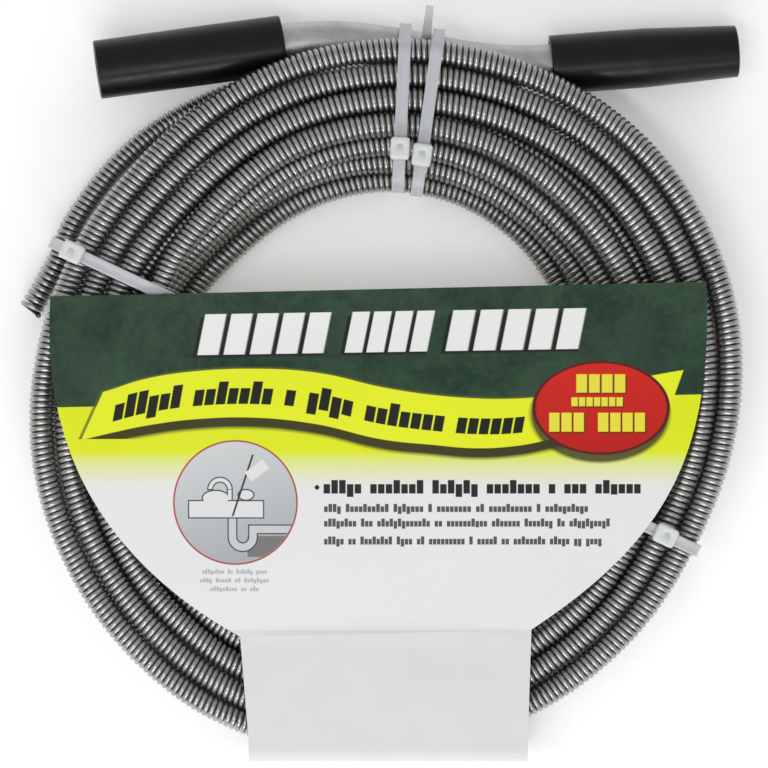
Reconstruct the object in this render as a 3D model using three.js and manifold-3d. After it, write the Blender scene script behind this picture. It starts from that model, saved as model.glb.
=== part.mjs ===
// A hand drain auger as it is sold: 7.6 m of coiled spring-steel cable, its bent-tube crank with two
// turning grips, the lock screw of the crank, four cable ties and a printed card folded round the coil.
// Millimetres. The coil lies flat, +Z up, +Y from the coil's middle towards the crank.
import * as THREE from "three";
import { mergeVertices } from "three/addons/utils/BufferGeometryUtils.js";
import Module from "manifold-3d";

// ---- driving dimensions -------------------------------------------------------------------------
const GAP = 0.3; // between pieces that touch
const CABLE_RADIUS = 4.75; // 3/8 inch nominal cable
const COIL_BOTTOM = 1.5; // the ties and the card's flap pass below the coil
const COIL_TOP = 31.75; // three layers of cable, loosely laid
const COIL_EDGE = 4; // rounding of the coil's edges

// The coil's outer and inner edge: [degrees clockwise from +Y, radius].
const COIL_OUTSIDE = [
  [0, 132], [30, 136.5], [50, 138.5], [75, 136], [95, 131], [115, 126.3], [145, 129],
  [180, 131.5], [210, 137], [240, 135.5], [270, 132.5], [295, 131], [315, 128], [340, 130],
];
const COIL_INSIDE = [
  [0, 80.3], [40, 77.5], [60, 74.5], [90, 80], [130, 88], [180, 90], [230, 89], [270, 84], [310, 80.5],
];
const OUTLINE_STEPS = 84;

// The loose end of the cable, from where it leaves the coil to its cut end.
const TAIL_ROUTE = [
  [-83.6, 102.6, 6.3], [-89.6, 98.3, 6.3], [-95.4, 93.4, 6.3], [-101.2, 87.8, 6.3],
  [-106.6, 81.7, 6.4], [-111.6, 75.1, 6.4], [-116.0, 68.3, 6.4], [-119.8, 61.4, 6.4],
  [-123.4, 54.6, 6.4], [-127.2, 47.7, 6.1], [-131.3, 40.6, 5.6], [-135.5, 33.6, 5.1],
];
const TAIL_STEPS = 26;
const TAIL_SIDES = 12;

const TUBE_RADIUS = 7.95; // 5/8 inch steel tube
const TUBE_BORE = 6.45; // the cable runs through it
const TUBE_SIDES = 24;
const TUBE_STEPS = 44;
const GRIP_RADIUS = 11.1;
const GRIP_LENGTH = 70.4;
const GRIP_BORE = 8.4; // turns freely on the tube
const GRIP_LIP = 2; // the outer end closes down to the bore of the tube
const BEAD_RADIUS = 8.9; // a rolled bead on the tube keeps each grip on
const BEAD_WIDTH = 2;
const BEAD_FROM_END = 8; // from the grip's inner end
const GROOVE_RADIUS = 9.4;
const GROOVE_WIDTH = 4;

// Each grip's outer end and the way it points, towards the crank's middle.
const LEFT_END = new THREE.Vector3(-108.9, 123.3, 20);
const LEFT_WAY = new THREE.Vector3(69.3, 10.3, -7).normalize();
const RIGHT_END = new THREE.Vector3(131.5, 131.3, 11.4);
const RIGHT_WAY = new THREE.Vector3(-67.1, -5, 0.2).normalize();
const BEND_PULL = 38; // how far the crank's S bend runs on in line with each grip

const NUT_FLATS = 10; // low M6 nut welded under the tube
const NUT_HEIGHT = 3;
const SCREW_RADIUS = 3;
const SCREW_HOLE = 3.4;
const SCREW_TIP = TUBE_BORE + 0.6; // from the tube's centre line, before it is driven in
const SOCKET_FLATS = 3;
const SOCKET_DEPTH = 2;
const LOCK_PLACE = 0.63; // along the crank's centre line, from the left end

const TIE_WIDTH = 4.6;
const TIE_THICK = 1.2;
const TIE_CORNER = COIL_EDGE + GAP; // inside radius of a tie's corners
const TIE_HEAD = { long: 8.8, wide: 7.6, high: 5.4, edge: 1.2 };
// Each tie: its angle round the coil, the coil's radii there, what else it pulls in (the centres of
// its corners, [radius, height], from below to above) and where its head sits.
const TIES = [
  { name: "tie_top_left", angle: 2.7, from: 79.8, to: 132.6, round: [[135.6, 5.8], [136.4, 12], [135.2, 15]], head: 92.9 },
  { name: "tie_top_right", angle: 7.9, from: 79.1, to: 133.2, round: [[135, 5.8], [135.6, 12], [134.8, 15]], head: 91.2, stub: true },
  { name: "tie_left", angle: -64.9, from: 80.9, to: 131.8, round: [[135.2, 5.6], [135.6, 6.5]], head: 128.6 },
  { name: "tie_lower_right", angle: 116, from: 84.3, to: 127, round: [], head: 113.9 },
];

const CARD_THICK = 0.6;
const CARD_FACE = 33.55; // the face panel lies on the ties
const CARD_FLAP_END = -86; // the flap behind the coil reaches up to here
const CARD_BOTTOM = -134.1;
const CARD_BEND = 5;

// ---- helpers ------------------------------------------------------------------------------------
const wasm = await Module();
wasm.setup();

function solidOf(geometry, matrix) {
  const bare = geometry.index ? geometry.toNonIndexed() : geometry.clone();
  for (const name of ["normal", "uv"]) bare.deleteAttribute(name);
  if (matrix) bare.applyMatrix4(matrix);
  const merged = mergeVertices(bare, 1e-4);
  return new wasm.Manifold(
    new wasm.Mesh({
      numProp: 3,
      vertProperties: new Float32Array(merged.attributes.position.array),
      triVerts: new Uint32Array(merged.index.array),
    }),
  );
}

function geometryOf(solid) {
  const { vertProperties, triVerts } = solid.getMesh();
  const geometry = new THREE.BufferGeometry();
  geometry.setAttribute("position", new THREE.BufferAttribute(vertProperties, 3));
  geometry.setIndex(new THREE.BufferAttribute(triVerts, 1));
  geometry.computeVertexNormals();
  return geometry;
}

function polar(degrees, radius) {
  const angle = THREE.MathUtils.degToRad(degrees);
  return new THREE.Vector3(radius * Math.sin(angle), radius * Math.cos(angle), 0);
}

function smoothOutline(stations) {
  const curve = new THREE.CatmullRomCurve3(
    stations.map(([degrees, radius]) => polar(degrees, radius)),
    true,
  );
  return curve
    .getSpacedPoints(OUTLINE_STEPS)
    .slice(0, -1)
    .reverse() // counterclockwise, as ExtrudeGeometry wants it
    .map((p) => new THREE.Vector2(p.x, p.y));
}

function roundedRectangle(low, high, corner, target = new THREE.Shape()) {
  target.moveTo(low.x + corner, low.y);
  target.lineTo(high.x - corner, low.y);
  target.absarc(high.x - corner, low.y + corner, corner, -Math.PI / 2, 0);
  target.lineTo(high.x, high.y - corner);
  target.absarc(high.x - corner, high.y - corner, corner, 0, Math.PI / 2);
  target.lineTo(low.x + corner, high.y);
  target.absarc(low.x + corner, high.y - corner, corner, Math.PI / 2, Math.PI);
  target.lineTo(low.x, low.y + corner);
  target.absarc(low.x + corner, low.y + corner, corner, Math.PI, 1.5 * Math.PI);
  return target;
}

function ring(outer, inner) {
  const shape = new THREE.Shape().absarc(0, 0, outer, 0, 2 * Math.PI);
  if (inner) shape.holes.push(new THREE.Path().absarc(0, 0, inner, 0, 2 * Math.PI, true));
  return shape;
}

function pipe(path, outer, inner, sides, steps) {
  return new THREE.ExtrudeGeometry(ring(outer, inner), {
    steps,
    extrudePath: path,
    curveSegments: sides,
  });
}

// A turned piece: its profile is [radius, distance along the way] from a start point.
function turned(profile, start, way, sides = TUBE_SIDES) {
  const geometry = new THREE.LatheGeometry(
    [...profile, profile[0]].map(([radius, along]) => new THREE.Vector2(radius, along)),
    sides,
  );
  geometry.applyQuaternion(
    new THREE.Quaternion().setFromUnitVectors(new THREE.Vector3(0, 1, 0), way),
  );
  return geometry.translate(start.x, start.y, start.z);
}

const group = new THREE.Group();

function add(name, geometry, colour, roughness, metalness) {
  const material = new THREE.MeshStandardMaterial({ color: colour, roughness, metalness });
  const mesh = new THREE.Mesh(geometry, material);
  mesh.name = name;
  group.add(mesh);
  return mesh;
}

// ---- the crank ----------------------------------------------------------------------------------
function crankPath() {
  const inward = (end, way, far) => end.clone().addScaledVector(way, far);
  const first = inward(LEFT_END, LEFT_WAY, GRIP_LENGTH + 1);
  const last = inward(RIGHT_END, RIGHT_WAY, GRIP_LENGTH + 1);
  const path = new THREE.CurvePath();
  path.add(new THREE.LineCurve3(inward(LEFT_END, LEFT_WAY, GRIP_LIP + GAP), first));
  path.add(
    new THREE.CubicBezierCurve3(
      first,
      inward(first, LEFT_WAY, BEND_PULL),
      inward(last, RIGHT_WAY, BEND_PULL),
      last,
    ),
  );
  path.add(new THREE.LineCurve3(last, inward(RIGHT_END, RIGHT_WAY, GRIP_LIP + GAP)));
  return path;
}

const crank = crankPath();
const lockPoint = crank.getPointAt(LOCK_PLACE);
const lockWay = new THREE.Vector3(0, 0, -1);
const lockEnd = TUBE_RADIUS + GAP + NUT_HEIGHT; // the nut's outer face, from the centre line

function bead(end, way) {
  const half = BEAD_WIDTH / 2;
  const middle = end.clone().addScaledVector(way, GRIP_LENGTH - BEAD_FROM_END);
  const inner = (TUBE_RADIUS + TUBE_BORE) / 2;
  const profile = [
    [inner, -half],
    [TUBE_RADIUS + 0.2, -half],
    [BEAD_RADIUS, -half / 2],
    [BEAD_RADIUS, half / 2],
    [TUBE_RADIUS + 0.2, half],
    [inner, half],
  ];
  return solidOf(turned(profile, middle, way));
}

function crankTube() {
  const hole = rod(SCREW_HOLE, 0, 14, 20);
  return geometryOf(
    solidOf(pipe(crank, TUBE_RADIUS, TUBE_BORE, TUBE_SIDES / 2, TUBE_STEPS))
      .add(bead(LEFT_END, LEFT_WAY))
      .add(bead(RIGHT_END, RIGHT_WAY))
      .subtract(hole),
  );
}

// A solid rod along the lock screw's line, between two distances from the tube's centre line.
function rod(radius, from, to, sides) {
  return solidOf(turned([[0, from], [radius, from], [radius, to], [0, to]], lockPoint, lockWay, sides));
}

function grip(end, way) {
  const grooveMiddle = GRIP_LENGTH - BEAD_FROM_END;
  const profile = [
    [TUBE_BORE, 0],
    [GRIP_RADIUS - 1, 0],
    [GRIP_RADIUS, 1],
    [GRIP_RADIUS, GRIP_LENGTH - 0.8],
    [GRIP_RADIUS - 0.8, GRIP_LENGTH],
    [GRIP_BORE, GRIP_LENGTH],
    [GRIP_BORE, grooveMiddle + GROOVE_WIDTH / 2],
    [GROOVE_RADIUS, grooveMiddle + GROOVE_WIDTH / 2 - 0.8],
    [GROOVE_RADIUS, grooveMiddle - GROOVE_WIDTH / 2 + 0.8],
    [GRIP_BORE, grooveMiddle - GROOVE_WIDTH / 2],
    [GRIP_BORE, GRIP_LIP],
    [TUBE_BORE, GRIP_LIP],
  ];
  return turned(profile, end, way, 32);
}

function lockNut() {
  const base = TUBE_RADIUS + GAP;
  const outside = NUT_FLATS / Math.sqrt(3);
  return geometryOf(
    rod(outside, base, lockEnd, 6).subtract(rod(SCREW_HOLE, base - 1, lockEnd + 1, 20)),
  );
}

function lockScrew() {
  const cone = 0.7;
  const profile = [
    [0, SCREW_TIP],
    [SCREW_RADIUS - cone, SCREW_TIP],
    [SCREW_RADIUS, SCREW_TIP + cone],
    [SCREW_RADIUS, lockEnd - 0.3],
    [SCREW_RADIUS - 0.3, lockEnd],
    [0, lockEnd],
  ];
  const socket = SOCKET_FLATS / Math.sqrt(3);
  return geometryOf(
    solidOf(turned(profile, lockPoint, lockWay, 20)).subtract(
      rod(socket, lockEnd - SOCKET_DEPTH, lockEnd + 1, 6),
    ),
  );
}

// ---- the cable ----------------------------------------------------------------------------------
function clearOfCrank() {
  const room = 0.7;
  const grips = [
    [LEFT_END, LEFT_WAY],
    [RIGHT_END, RIGHT_WAY],
  ].map(([end, way]) =>
    solidOf(
      turned([[0, -2], [GRIP_RADIUS + room, -2], [GRIP_RADIUS + room, GRIP_LENGTH + 1], [0, GRIP_LENGTH + 1]], end, way),
    ),
  );
  const lock = rod(NUT_FLATS / Math.sqrt(3) + 1, 0, lockEnd + 2, 20);
  return solidOf(pipe(crank, TUBE_RADIUS + room, 0, TUBE_SIDES / 3, TUBE_STEPS))
    .add(grips[0])
    .add(grips[1])
    .add(lock);
}

function coil() {
  const shape = new THREE.Shape(smoothOutline(COIL_OUTSIDE));
  shape.holes.push(new THREE.Path(smoothOutline(COIL_INSIDE)));
  const geometry = new THREE.ExtrudeGeometry(shape, {
    depth: COIL_TOP - COIL_BOTTOM - 2 * COIL_EDGE,
    bevelThickness: COIL_EDGE,
    bevelSize: COIL_EDGE,
    bevelOffset: -COIL_EDGE,
    bevelSegments: 2,
  }).translate(0, 0, COIL_BOTTOM + COIL_EDGE);
  const tailRoom = pipe(tailPath(), CABLE_RADIUS + 0.5, 0, 6, TAIL_STEPS);
  return geometryOf(solidOf(geometry).subtract(clearOfCrank()).subtract(solidOf(tailRoom)));
}

function tailPath() {
  return new THREE.CatmullRomCurve3(TAIL_ROUTE.map((p) => new THREE.Vector3(...p)));
}

// ---- ties and card ------------------------------------------------------------------------------
// A band pulled tight round circles of one radius, their centres in counterclockwise order.
function band(centres, radius, target) {
  const turn = (from, to) => Math.atan2(to[1] - from[1], to[0] - from[0]) - Math.PI / 2;
  centres.forEach((centre, i) => {
    const before = centres[(i + centres.length - 1) % centres.length];
    const after = centres[(i + 1) % centres.length];
    target.absarc(centre[0], centre[1], radius, turn(before, centre), turn(centre, after));
  });
  return target;
}

function tie({ angle, from, to, round, head, stub }) {
  const low = COIL_BOTTOM + COIL_EDGE;
  const high = COIL_TOP - COIL_EDGE;
  const inner = from + COIL_EDGE;
  const outer = to - COIL_EDGE;
  const beneath = round.length ? [] : [[outer, low]];
  const centres = [[inner, low], ...beneath, ...round, [outer, high], [inner, high]];
  const shape = band(centres, TIE_CORNER + TIE_THICK, new THREE.Shape());
  shape.holes.push(band(centres, TIE_CORNER, new THREE.Path()));
  const strap = new THREE.ExtrudeGeometry(shape, {
    depth: TIE_WIDTH,
    bevelEnabled: false,
    curveSegments: 5,
  }).translate(0, 0, -TIE_WIDTH / 2);
  const { long, wide, high: tall, edge } = TIE_HEAD;
  const plate = roundedRectangle(
    new THREE.Vector2(-long / 2 + edge, -wide / 2 + edge),
    new THREE.Vector2(long / 2 - edge, wide / 2 - edge),
    1,
  );
  const block = new THREE.ExtrudeGeometry(plate, {
    depth: tall - 2 * edge,
    bevelThickness: edge,
    bevelSize: edge,
    bevelSegments: 2,
    curveSegments: 3,
  });
  block.rotateX(-Math.PI / 2);
  block.translate(head, high + TIE_CORNER + edge + 0.2, 0);
  let solid = solidOf(strap).add(solidOf(block));
  if (stub) solid = solid.add(solidOf(cutEnd(round[1][0] + TIE_CORNER)));
  const outward = polar(angle, 1);
  const up = new THREE.Vector3(0, 0, 1);
  const basis = new THREE.Matrix4().makeBasis(outward, up, outward.clone().cross(up));
  const geometry = geometryOf(solid);
  geometry.applyMatrix4(basis);
  return geometry;
}

// The end of the tie that was left standing when it was trimmed.
function cutEnd(to) {
  const shape = new THREE.Shape();
  shape.moveTo(to - 1, 12);
  shape.quadraticCurveTo(to + 3, 15, to + 6.5, 23);
  shape.lineTo(to + 7.6, 22.5);
  shape.quadraticCurveTo(to + 4.5, 14.5, to + 0.4, 10.6);
  const geometry = new THREE.ExtrudeGeometry(shape, {
    depth: TIE_WIDTH - 0.6,
    bevelEnabled: false,
    curveSegments: 5,
  });
  return geometry.translate(0, 0, -TIE_WIDTH - 0.9);
}

function card() {
  const face = new THREE.Shape();
  face.moveTo(-124.4, 38.2);
  face.bezierCurveTo(-129.2, -28, -95, -64.6, -54.6, -87.4);
  face.lineTo(-51.5, -125);
  face.lineTo(51.6, -125);
  face.lineTo(52.9, -84.7);
  face.bezierCurveTo(94.5, -57, 121.3, -28, 117.3, 43.6);
  const panel = new THREE.ExtrudeGeometry(face, {
    depth: CARD_THICK,
    bevelEnabled: false,
    curveSegments: 20,
  }).translate(0, 0, CARD_FACE);
  const top = CARD_FACE + CARD_THICK;
  const wrap = wrapOutline(CARD_BOTTOM, 0, top, CARD_BEND);
  const tongue = new THREE.ExtrudeGeometry(wrap, {
    depth: 103.1,
    bevelEnabled: false,
    curveSegments: 6,
  });
  // The outline's x and y become the row's y and z, and its depth runs along x.
  const basis = new THREE.Matrix4().makeBasis(
    new THREE.Vector3(0, 1, 0),
    new THREE.Vector3(0, 0, 1),
    new THREE.Vector3(1, 0, 0),
  );
  tongue.applyMatrix4(basis).translate(-51.5, 0, 0);
  return geometryOf(solidOf(panel).add(solidOf(tongue)));
}

// The card's section where it folds round the foot of the coil: face, foot and rear flap.
function wrapOutline(foot, low, high, bend) {
  const thick = CARD_THICK;
  const inner = bend - thick;
  const shape = new THREE.Shape();
  shape.moveTo(-124, high);
  shape.lineTo(foot + bend, high);
  shape.absarc(foot + bend, high - bend, bend, Math.PI / 2, Math.PI);
  shape.lineTo(foot, low + bend);
  shape.absarc(foot + bend, low + bend, bend, Math.PI, 1.5 * Math.PI);
  shape.lineTo(CARD_FLAP_END, low);
  shape.lineTo(CARD_FLAP_END, low + thick);
  shape.lineTo(foot + bend, low + thick);
  shape.absarc(foot + bend, low + bend, inner, 1.5 * Math.PI, Math.PI, true);
  shape.lineTo(foot + thick, high - bend);
  shape.absarc(foot + bend, high - bend, inner, Math.PI, Math.PI / 2, true);
  shape.lineTo(-124, high - thick);
  return shape;
}

// ---- assembly -----------------------------------------------------------------------------------
add("cable_coil", coil(), 0x77777a, 0.35, 0.9);
add("cable_tail", pipe(tailPath(), CABLE_RADIUS, 0, TAIL_SIDES / 2, TAIL_STEPS), 0x77777a, 0.35, 0.9);
add("crank_tube", crankTube(), 0xb9bcbd, 0.4, 0.8);
add("grip_left", grip(LEFT_END, LEFT_WAY), 0x17171b, 0.45, 0);
add("grip_right", grip(RIGHT_END, RIGHT_WAY), 0x17171b, 0.45, 0);
add("lock_nut", lockNut(), 0xb9bcbd, 0.4, 0.8);
add("lock_screw", lockScrew(), 0xa9abac, 0.35, 0.9);
for (const each of TIES) add(each.name, tie(each), 0xd9dde4, 0.35, 0);
add("label_card", card(), 0x3d6b3a, 0.5, 0);

// The origin is the middle of the whole object's footprint, on the surface it lies on.
const box = new THREE.Box3().setFromObject(group);
const middle = box.getCenter(new THREE.Vector3());
group.position.set(-middle.x, -middle.y, -box.min.z);

export default group;
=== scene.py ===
import math

import bmesh
import bpy
import numpy as np
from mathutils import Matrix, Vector


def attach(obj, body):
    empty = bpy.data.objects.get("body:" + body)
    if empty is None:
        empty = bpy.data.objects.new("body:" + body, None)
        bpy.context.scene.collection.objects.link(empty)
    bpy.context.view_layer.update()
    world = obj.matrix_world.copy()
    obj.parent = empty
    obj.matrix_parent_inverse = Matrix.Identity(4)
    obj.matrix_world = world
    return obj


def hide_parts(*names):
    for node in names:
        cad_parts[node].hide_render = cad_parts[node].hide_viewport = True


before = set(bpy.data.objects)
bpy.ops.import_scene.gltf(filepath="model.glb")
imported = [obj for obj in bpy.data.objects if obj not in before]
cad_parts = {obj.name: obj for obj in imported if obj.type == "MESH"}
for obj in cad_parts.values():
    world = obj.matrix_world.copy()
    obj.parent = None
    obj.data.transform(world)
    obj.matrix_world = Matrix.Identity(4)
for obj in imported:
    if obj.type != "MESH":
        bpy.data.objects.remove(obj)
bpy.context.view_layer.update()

MM = 0.001
SHIFT = np.array([3.115, -6.378, 0.0])  # from the coil's middle to the row's origin, mm

# ---- the camera, straight above the coil ----
REFERENCE_HEIGHT = 31.0  # lengths were measured at the coil's upper face
CAMERA_DISTANCE = 1100.0
FRAME_WIDTH = 284.2
SENSOR = 36.0


def to_row(points):
    """Points in mm from the coil's middle, as metres in the row's frame."""
    return ((np.asarray(points, float) + SHIFT) * MM).tolist()


def linked(name, data):
    """A new object in the scene."""
    made = bpy.data.objects.new(name, data)
    bpy.context.collection.objects.link(made)
    return made


camera_data = bpy.data.cameras.new("camera")
camera_data.sensor_width = SENSOR
camera_data.lens = SENSOR * CAMERA_DISTANCE / FRAME_WIDTH
camera_data.clip_end = 20
camera = linked("camera", camera_data)
camera.location = to_row((-1.5, 5.9, REFERENCE_HEIGHT + CAMERA_DISTANCE))
bpy.context.scene.camera = camera


# ---- helpers ----
def smooth_mesh(name, points, faces):
    mesh = bpy.data.meshes.new(name)
    mesh.from_pydata(to_row(points), [], faces)
    mesh.shade_smooth()
    return mesh


def unit(v):
    return v / np.linalg.norm(v, axis=-1, keepdims=True)


def distances(line):
    """How far along a line each of its points lies."""
    return np.concatenate([[0], np.cumsum(np.linalg.norm(np.diff(line, axis=0), axis=1))])


def circle(count):
    return np.arange(count) * 2 * math.pi / count


def applied(piece):
    """The piece with its modifiers made part of its mesh."""
    seen = piece.evaluated_get(bpy.context.evaluated_depsgraph_get())
    mesh = bpy.data.meshes.new_from_object(seen)
    piece.modifiers.clear()
    piece.data = mesh
    return piece


def directions(line):
    """The way a line runs at each of its points, and the ways to its side and up."""
    way = unit(np.gradient(line, axis=0))
    side = unit(np.cross(way, [0.0, 0.0, 1.0]))
    return way, side, np.cross(side, way)


def grid_faces(count, sides, along_closed=False):
    """The quads over closed rings of points, a ring after a ring."""
    i, j = np.meshgrid(np.arange(count if along_closed else count - 1), np.arange(sides), indexing="ij")
    k, n = (j + 1) % sides, (i + 1) % count
    corners = [i * sides + j, i * sides + k, n * sides + k, n * sides + j]
    return np.stack(corners, -1).reshape(-1, 4).tolist()


class Nodes:
    """A material's node tree, with short calls for what the materials here need."""

    def __init__(self, name, **settings):
        self.material = bpy.data.materials.new(name)
        self.material.use_nodes = True
        self.tree = self.material.node_tree
        self.shader = self.tree.nodes["Principled BSDF"]
        for key, value in settings.items():
            self.shader.inputs[key.replace("_", " ")].default_value = value

    def put(self, socket, value):
        if isinstance(value, bpy.types.NodeSocket):
            self.tree.links.new(value, socket)
        elif value is not None:
            if isinstance(value, tuple) and len(value) == 3 and len(socket.default_value) == 4:
                value = (*value, 1.0)
            socket.default_value = value

    def new(self, kind, output=0, attributes=None, **inputs):
        node = self.tree.nodes.new("ShaderNode" + kind)
        for key, value in (attributes or {}).items():
            setattr(node, key, value)
        for key, value in inputs.items():
            self.put(node.inputs[key.replace("_", " ")], value)
        return node.outputs[output]

    def math(self, operation, a, b=None, c=None, clamp=False):
        node = self.tree.nodes.new("ShaderNodeMath")
        node.operation = operation
        node.use_clamp = clamp
        for socket, value in zip(node.inputs, (a, b, c)):
            self.put(socket, value)
        return node.outputs[0]

    def plus(self, a, b):
        return self.math("ADD", a, b)

    def minus(self, a, b):
        return self.math("SUBTRACT", a, b)

    def times(self, a, b):
        return self.math("MULTIPLY", a, b)

    def over(self, value, limit, soft=0.25):
        """1 where value is above the limit."""
        return self.math("DIVIDE", self.minus(value, limit), soft, clamp=True)

    def mix(self, factor, a, b):
        node = self.tree.nodes.new("ShaderNodeMix")
        node.data_type = "RGBA"
        self.put(node.inputs["Factor"], factor)
        self.put(node.inputs["A"], a)
        self.put(node.inputs["B"], b)
        return node.outputs["Result"]

    def ramp(self, value, low, high, to_low=0.0, to_high=1.0):
        limits = dict(From_Min=low, From_Max=high, To_Min=to_low, To_Max=to_high)
        return self.new("MapRange", Value=value, **limits)

    def coordinates(self):
        return self.new("TexCoord", "Object")

    def noise(self, scale, detail=2.0, roughness=0.5, at=None, distortion=0.0):
        return self.new(
            "TexNoise",
            Vector=at or self.coordinates(),
            Scale=scale,
            Detail=detail,
            Roughness=roughness,
            Distortion=distortion,
        )

    def stretched(self, scale, rotation):
        return self.new("Mapping", Vector=self.coordinates(), Scale=scale, Rotation=rotation)

    def bump(self, height, strength, distance):
        self.set("Normal", self.new("Bump", Height=height, Strength=strength, Distance=distance))

    def set(self, key, value):
        self.put(self.shader.inputs[key.replace("_", " ")], value)


# ---- the cable's line ----
CABLE_DIAMETER = 9.5
CABLE_LENGTH = 7840.0  # 25 ft nominal, cut a little long
WIRE_DIAMETER = 2.13
PITCH = 2.19
STATIONS = 72  # to a turn
FIRST_STATION = -77.0 / 360 * STATIONS  # where the loose end stops
SPARE_STATIONS = 40  # past the cable's end, where it is cut to length
AVERAGE_RADIUS = 108.5
LOWEST = 6.35  # the ties pass under the coil
HIGHEST = 26.9
MOST_DRIFT = 1.8  # how far in or out a turn may be pushed from its place
ROUNDS = 260
ROOM_AT_TUBE = 0.25
ROOM_AT_GRIP = 0.3
MESH_DEPTH = 0.22  # the windings of neighbouring turns mesh a little
STATION_LENGTH = 2 * math.pi * 108 / STATIONS
SLOT_CHANGE = (150.0, 212.0)  # the turns step from one place to the next here, behind the card's foot

ANGLES = [-180, -150, -120, -100, -75, -45, -22, 0, 22, 45, 75, 95, 115, 135, 150, 180]
# Each turn's radius and height round the coil, in the order that the cable runs through them.
PLACES = [
    # the loose end's turn: low, and outermost before it passes under the crank
    ([120, 120, 121, 123, 137, 135.6, 129.5, 119, 123, 128.2, 125.4, 121.2, 117.5, 118.6, 119, 120], 6.4),
    ([116, 120, 121, 121, 120, 119, 116, 108.5, 114, 118.9, 115.9, 111.8, 108, 109.2, 109.6, 116], 7.2),
    ([104, 109, 111.5, 111.5, 110.5, 109.5, 106, 98.5, 103, 109, 106, 102, 98.5, 99.5, 100, 104], 6.4),
    ([90, 95, 95, 93, 88.5, 83, 83.4, 84.2, 83.2, 80.8, 75.5, 79, 86, 88, 89, 90], 6.4),
    ([95, 97, 97, 96, 92, 87.5, 88.4, 89.2, 87.8, 85.6, 85.5, 87, 90, 92, 93, 95], 13.2),
    ([97.5, 100, 101, 100, 96, 91.5, 94, 96, 94.2, 92.3, 91.8, 92, 94, 95, 95, 97.5], 20.0),
    ([104, 109, 110, 108, 103, 99.5, 104, 107, 107.2, 107, 105, 101.5, 99, 100, 101, 104], 18.6),
    ([122.5, 125.8, 124.8, 124.2, 120.6, 118.9, 120.5, 117.5,
      122.5, 128, 125.3, 120.9, 117, 118.2, 118.8, 122.5], 16.8),
    ([127, 130.4, 129.3, 129, 125.2, 123.4, 126.8, 128.9,
      130.7, 132.7, 129.9, 125.4, 121.4, 122.6, 123.6, 127], 26.0),
    ([118, 121.3, 120.3, 119.5, 116, 114.4, 118.2, 121,
      121.8, 123.6, 120.6, 116.4, 112.6, 113.9, 114, 118], 26.2),
    ([108.6, 111.6, 111, 110.2, 106.6, 105.2, 109.4, 112,
      112.8, 114.2, 111.2, 107.2, 103.4, 104.5, 104, 108.6], 26.9),
    ([99.3, 102.2, 101.5, 100.8, 97.2, 95.4, 100, 102.4, 102.4, 100.4, 98.4, 97.4, 94, 92, 89, 88], 26.9),
]

# The crank, as in the CAD: each grip's outer end and the way it points.
LEFT_END = np.array([-108.9, 123.3, 20.0])
LEFT_WAY = unit([69.3, 10.3, -7.0])
RIGHT_END = np.array([131.5, 131.3, 11.4])
RIGHT_WAY = unit([-67.1, -5.0, 0.2])
GRIP_LENGTH = 70.4
BEND_PULL = 38.0
TUBE_RADIUS = 7.95
GRIP_RADIUS = 11.1
BEND_FIRST = LEFT_END + LEFT_WAY * (GRIP_LENGTH + 1)
BEND_LAST = RIGHT_END + RIGHT_WAY * (GRIP_LENGTH + 1)


def crank_bend(count):
    """The curve of the tube between its straight ends."""
    t = np.linspace(0, 1, count)[:, None]
    ends = [BEND_FIRST, BEND_FIRST + LEFT_WAY * BEND_PULL, BEND_LAST + RIGHT_WAY * BEND_PULL, BEND_LAST]
    weights = [(1 - t) ** 3, 3 * t * (1 - t) ** 2, 3 * t**2 * (1 - t), t**3]
    return sum(w * p for w, p in zip(weights, ends))


def periodic(values, degrees):
    """The table's value at each angle, on a smooth curve through its entries."""
    step = (degrees + 180) % 360 - 180
    dense = np.arange(-180, 181, 1.0)
    line = np.interp(dense, ANGLES, values)
    kernel = np.hanning(25)
    kernel /= kernel.sum()
    wrapped = np.concatenate([line[-13:-1], line, line[1:13]])
    return np.interp(step, dense, np.convolve(wrapped, kernel, "valid"))


def guides():
    """Where each station of the cable would like to be: angle, radius, height."""
    turns = CABLE_LENGTH / (2 * math.pi * AVERAGE_RADIUS)
    stations = np.arange(int(turns * STATIONS) + SPARE_STATIONS)
    degrees = (stations + FIRST_STATION) * 360 / STATIONS
    low, high = SLOT_CHANGE
    whole, past = np.divmod(degrees - low + 360, 360)
    within = np.clip(past / (high - low), 0, 1)
    blend = within * within * (3 - 2 * within)
    before = np.clip(whole - 1, 0, len(PLACES) - 1).astype(int)
    after = np.clip(whole, 0, len(PLACES) - 1).astype(int)
    radii = np.array([periodic(p[0], degrees) for p in PLACES])
    heights = np.array([p[1] for p in PLACES])
    radius = radii[before, stations] * (1 - blend) + radii[after, stations] * blend
    height = heights[before] * (1 - blend) + heights[after] * blend
    return degrees, radius, height


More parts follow.
